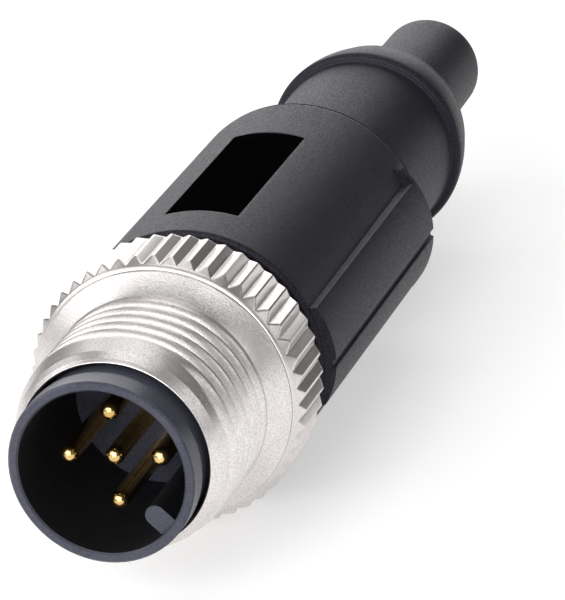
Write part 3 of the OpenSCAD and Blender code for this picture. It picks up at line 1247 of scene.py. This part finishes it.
    def carve(self, s: np.ndarray, r: np.ndarray, theta: np.ndarray) -> tuple[np.ndarray, np.ndarray]:
        """Adds pads, gussets and channels to the turned grip, and takes the rating field off.

        Args:
            s: Stations, as a column.
            r: Turned radii, as a column.
            theta: Angles, as a row.

        Returns:
            Carved radii, and 1 where a point lies in the rating field and 0 elsewhere.
        """
        on_grip = (s >= self.front + self.rounding - TINY) & (s <= self.rear - self.rounding + TINY)
        pad_front, pad_end = self.front + self.pad_start, self.pad_end
        before_end = 1 - ramp(s, pad_end - 0.06, pad_end + 0.04)
        face, pad = self.pad_surface(theta)
        out = r + np.maximum(pad - r, 0) * ramp(s, pad_front - 0.02, pad_front + 0.1) * before_end
        wedge = self.gusset_surface(s, theta, face)
        beside_ledge = np.abs(np.sin(theta)) * self.pad > self.pad_half - 0.3
        live = before_end * (s > pad_end - self.gusset_len)
        out = out + np.maximum(wedge - out, 0) * live * beside_ledge
        flat = self.field_surface(theta)
        in_front, in_rear = self.field_front, self.field_rear
        within = ramp(s, in_front - 0.03, in_front + 0.05) * (1 - ramp(s, in_rear - 0.05, in_rear + 0.03))
        sunk = np.maximum(out - flat, 0) * within
        patch = (out > flat) * (within > 0.5)
        return np.where(on_grip, out - sunk, r), np.where(on_grip, patch, 0.0)

    def build(self, finish: bpy.types.Material, field_finish: bpy.types.Material) -> None:
        """Builds and dresses the grip, with the field's finish on each face that touches the field.

        Args:
            finish: The moulding's finish.
            field_finish: The bare rating field's finish.
        """
        path = self.profile()
        stations, theta = path[:, :1], self.angles()[None, :]
        radii, patch = self.carve(stations, path[:, 1:], theta)
        piece = grid_mesh("grip_moulding", self.axis.points(stations, radii, theta), Wrap.POLES)
        dress(piece, Body.PLUG, finish, Slot.GRIP, "grip_body")
        piece.data.materials.append(field_finish)
        on = np.pad(patch > 0.5, ((0, 1), (0, 1)), mode="edge")
        touches = on[:-2, :-1] | on[1:-1, :-1] | on[:-2, 1:] | on[1:-1, 1:]
        chosen = np.zeros(len(piece.data.polygons), dtype=np.int32)
        chosen[: touches.size] = touches.reshape(-1)
        piece.data.polygons.foreach_set("material_index", chosen)


@dataclass
class KeptSolids:
    """The solids that keep their own shape and only get a finish.

    Attributes:
        finishes: The finish of each solid, by its node's name.
    """

    finishes: dict[str, Finish]

    def build(self) -> None:
        """Gives each solid its finish."""
        for node, finish in self.finishes.items():
            solid = frame["nodes"][node]
            material = finish.material()
            for holder in solid.material_slots:
                holder.material = material
            LOG.info("%s: %s", node, finish.slot.value)


# ---------------------------------------------------------------- stage


@dataclass(frozen=True)
class Lamp:
    """One square soft lamp.

    Attributes:
        name: Name of the lamp.
        place: Where it stands, in metres.
        size: Its width and height in metres.
        power: Watts.
    """

    name: str
    place: tuple[float, float, float]
    size: float
    power: float

    def build(self, aim: tuple[float, float, float]) -> None:
        """Builds the lamp.

        Args:
            aim: Place that it points at, in metres.
        """
        data = bpy.data.lights.new(self.name, "AREA")
        data.shape = "RECTANGLE"
        data.size = self.size
        data.size_y = self.size
        data.energy = self.power
        lamp = bpy.data.objects.new(self.name, data)
        back = np.array(self.place) - np.array(aim)
        back /= np.linalg.norm(back)
        side = np.cross([0.0, 0.0, 1.0], back)
        side /= np.linalg.norm(side)
        matrix = np.eye(4)
        matrix[:3] = np.column_stack([side, np.cross(back, side), back, self.place])
        lamp.matrix_world = Matrix(matrix.tolist())
        bpy.context.scene.collection.objects.link(lamp)


LAMPS = (
    Lamp("back_soft", place=(-0.212, 0.652, 0.305), size=0.6, power=2.5),
    Lamp("back_right_soft", place=(0.287, 0.497, 0.402), size=0.5, power=0.12),
    Lamp("right_soft", place=(0.609, -0.107, 0.329), size=0.4, power=0.55),
    Lamp("left_soft", place=(-0.597, -0.105, 0.35), size=0.5, power=1.41),
    Lamp("front_left_soft", place=(-0.297, -0.514, 0.371), size=0.5, power=1.73),
    Lamp("front_soft", place=(0.022, -0.639, 0.285), size=0.6, power=3.96),
    Lamp("top_soft", place=(0.0, 0.122, 0.689), size=0.5, power=1.18),
)


@dataclass
class Studio:
    """Pale floor, soft lamps and the camera.

    Attributes:
        floor_half: Half of the floor's side in metres.
        floor_white: Diffuse colour of the floor.
        lift: Brightness added to the floor where the camera or a reflection sees it.
        world_white: Colour of the surroundings.
        world_strength: Strength of the surroundings as a light; the camera sees them at 1.
        aim: Place in metres that every lamp points at.
        lamps: The lamps.
        focal: Focal length in millimetres.
        sensor: Width of the camera's sensor in millimetres.
        azimuth: How far the camera stands round to the right of the mating end, in degrees.
        elevation: How far it looks down, in degrees.
        roll: How far it is turned about its own line of sight, in degrees.
        stand: Where it stands, in metres.
    """

    floor_half: float = 3.0
    floor_white: float = 0.6
    lift: float = 0.52
    world_white: float = 1.0
    world_strength: float = 0.06
    aim: tuple[float, float, float] = (0.0, 0.0, 0.008)
    lamps: tuple[Lamp, ...] = LAMPS
    focal: float = 300.0
    sensor: float = 36.0
    azimuth: float = 19.1562
    elevation: float = 20.9354
    roll: float = -5.8431
    stand: tuple[float, float, float] = (0.086736, -0.2505506, 0.1060032)

    def floor(self) -> None:
        """A pale floor under the part; it brightens where seen directly and keeps the shadow."""
        h = self.floor_half
        mesh = bpy.data.meshes.new("floor")
        mesh.from_pydata([(-h, -h, 0), (h, -h, 0), (h, h, 0), (-h, h, 0)], [], [(0, 1, 2, 3)])
        piece = bpy.data.objects.new("floor", mesh)
        bpy.context.scene.collection.objects.link(piece)
        material = bpy.data.materials.new("floor_paper")
        material.use_nodes = True
        n = Nodes(material.node_tree)
        material.node_tree.nodes.clear()
        paper = n.add("ShaderNodeBsdfDiffuse")
        n.feed(paper, "Color", socket_colour((self.floor_white,) * 3))
        glow = n.add("ShaderNodeEmission")
        n.feed(glow, "Strength", n.math("MULTIPLY", self.seen(n), self.lift))
        both = n.add("ShaderNodeAddShader")
        n.feed(both, 0, paper.outputs[0])
        n.feed(both, 1, glow.outputs[0])
        out = n.add("ShaderNodeOutputMaterial")
        n.feed(out, "Surface", both.outputs[0])
        mesh.materials.append(material)

    @staticmethod
    def seen(n: Nodes) -> bpy.types.NodeSocket:
        """Whether a ray sees the floor directly, through glass or in a reflection.

        Args:
            n: Wiring helper.

        Returns:
            Socket that is 1 for camera, glossy and transmission rays, and 0 for others.
        """
        path = n.add("ShaderNodeLightPath")
        first = n.math("ADD", path.outputs["Is Camera Ray"], path.outputs["Is Glossy Ray"])
        return n.math("ADD", first, path.outputs["Is Transmission Ray"], clamp=True)

    def world(self) -> None:
        """Even pale surroundings, white where seen directly."""
        world = bpy.data.worlds.new("studio")
        bpy.context.scene.world = world
        world.use_nodes = True
        n = Nodes(world.node_tree)
        ground = world.node_tree.nodes["Background"]
        n.feed(ground, "Color", socket_colour((self.world_white,) * 3))
        camera = n.add("ShaderNodeLightPath").outputs["Is Camera Ray"]
        n.feed(ground, "Strength", n.span(camera, 0.0, 1.0, (self.world_strength, 1.0)))

    def camera(self) -> None:
        """The camera in front of the plug, above it and to its right, slightly rolled.

        Its back points along (cos el sin az, -cos el cos az, sin el). Its level right is
        (cos az, sin az, 0), which the roll then turns towards its up.
        """
        data = bpy.data.cameras.new("view")
        data.lens = self.focal
        data.sensor_width = self.sensor
        data.clip_start = 0.01
        data.clip_end = 20.0
        camera = bpy.data.objects.new("view", data)
        az, el, roll = np.radians([self.azimuth, self.elevation, self.roll])
        back = np.array([np.cos(el) * np.sin(az), -np.cos(el) * np.cos(az), np.sin(el)])
        level = np.array([np.cos(az), np.sin(az), 0.0])
        upright = np.cross(back, level)
        right = np.cos(roll) * level + np.sin(roll) * upright
        matrix = np.eye(4)
        matrix[:3] = np.column_stack([right, np.cross(back, right), back, self.stand])
        camera.matrix_world = Matrix(matrix.tolist())
        bpy.context.scene.collection.objects.link(camera)
        bpy.context.scene.camera = camera

    def build(self) -> None:
        """Builds floor, world, lamps and camera."""
        self.floor()
        self.world()
        for lamp in self.lamps:
            lamp.build(self.aim)
        self.camera()
        bpy.context.scene.view_settings.view_transform = "Standard"


# ---------------------------------------------------------------- finishes in use

NICKEL = PlatedNutWithGrooveShade(
    Slot.NUT, colour=(0.88, 0.845, 0.83), shade=(0.82, 0.785, 0.77), rough=0.38, rough_spread=0.1,
    metal=1.0, grain_mm=0.08, grain_depth_mm=0.009, cloud_mm=2.0,
    fleck=(0.56, 0.53, 0.52), fleck_share=0.6,
)
# Same nickel plating as NICKEL, coloured darker as painted shade on the ribbed ring; its lower roughness and
# shallower grain are its own.
RIBBED_SHADED = PlatedNutWithGrooveShade(
    Slot.NUT, colour=(0.78, 0.745, 0.73), shade=(0.72, 0.685, 0.67), rough=0.34, rough_spread=0.05,
    metal=1.0, grain_mm=0.09, grain_depth_mm=0.003, cloud_mm=2.0,
    fleck=(0.56, 0.53, 0.51), fleck_share=0.4,
)
GOLD = Finish(
    Slot.CONTACT, colour=(0.86, 0.60, 0.24), shade=(0.62, 0.40, 0.15), rough=0.2, rough_spread=0.06,
    metal=1.0, grain_mm=0.12, grain_depth_mm=0.0015, cloud_mm=1.2,
)
GRIP = Finish(
    Slot.GRIP, colour=(0.0066, 0.0060, 0.0092), shade=(0.0042, 0.0038, 0.0064), rough=0.5, rough_spread=0.14,
    grain_mm=0.1, grain_depth_mm=0.02, cloud_mm=8.0, specular=0.26, tint=(0.88, 0.88, 1.0),
    fleck=(0.036, 0.035, 0.050), fleck_share=0.6,
)
FIELD = Finish(
    Slot.GRIP, colour=(0.0016, 0.0016, 0.0018), shade=(0.0012, 0.0012, 0.0014), rough=0.7, rough_spread=0.06,
    grain_mm=0.1, grain_depth_mm=0.002, cloud_mm=3.0, specular=0.0,
)
CARRIER = ShroudWithBoreShade(
    Slot.CARRIER, colour=(0.050, 0.052, 0.072), shade=(0.036, 0.038, 0.054), rough=0.36, rough_spread=0.1,
    grain_mm=0.08, grain_depth_mm=0.008, cloud_mm=3.0, tint=(0.88, 0.9, 1.0),
    fleck=(0.10, 0.10, 0.13), fleck_share=0.4,
)
CORE = Finish(
    Slot.CORE, colour=(0.012, 0.012, 0.012), shade=(0.009, 0.009, 0.009), rough=0.55, rough_spread=0.06,
    grain_mm=0.1, grain_depth_mm=0.004, cloud_mm=4.0,
)
CERAMIC = Finish(
    Slot.CERAMIC, colour=(0.80, 0.78, 0.72), shade=(0.72, 0.70, 0.63), rough=0.6, rough_spread=0.06,
    grain_mm=0.12, grain_depth_mm=0.004, cloud_mm=1.5,
)
TINNED = Finish(
    Slot.TINNED, colour=(0.66, 0.66, 0.68), shade=(0.54, 0.54, 0.56), rough=0.35, rough_spread=0.08,
    metal=1.0, grain_mm=0.1, grain_depth_mm=0.003, cloud_mm=1.0,
)
COATING = Finish(
    Slot.COATING, colour=(0.16, 0.34, 0.52), shade=(0.12, 0.27, 0.43), rough=0.22, rough_spread=0.05,
    grain_mm=0.2, grain_depth_mm=0.002, cloud_mm=1.5,
)
SLEEVE = Finish(
    Slot.SLEEVE, colour=(0.66, 0.60, 0.44), shade=(0.58, 0.52, 0.37), rough=0.5, rough_spread=0.06,
    grain_mm=0.1, grain_depth_mm=0.003, cloud_mm=2.0,
)
SOLDER = Finish(
    Slot.SOLDER, colour=(0.62, 0.62, 0.64), shade=(0.48, 0.48, 0.50), rough=0.42, rough_spread=0.1,
    metal=1.0, grain_mm=0.15, grain_depth_mm=0.004, cloud_mm=0.6,
)


def main() -> None:
    """Builds the plug's looks in order and reports each piece."""
    logging.basicConfig(level=logging.INFO, format="%(name)s: %(message)s")
    axis = PlugAxis.from_frame()
    LOG.info("axis at %.2f mm, length %.2f mm", axis.height, axis.length)
    CouplingNut(axis).build(NICKEL.material(), RIBBED_SHADED.material())
    ContactSet(axis).build(GOLD.material())
    Grip(axis).build(GRIP.material(), FIELD.material())
    KeptSolids({
        "contact_carrier": CARRIER,
        "inner_mould": CORE,
        "resistor_core": CERAMIC,
        "resistor_cap_front": TINNED,
        "resistor_cap_rear": TINNED,
        "resistor_coat": COATING,
        "lead_front": TINNED,
        "lead_rear": TINNED,
        "lead_sleeve": SLEEVE,
        "solder_centre": SOLDER,
        "solder_bottom": SOLDER,
    }).build()
    Studio().build()


if __name__ == "__main__":
    main()
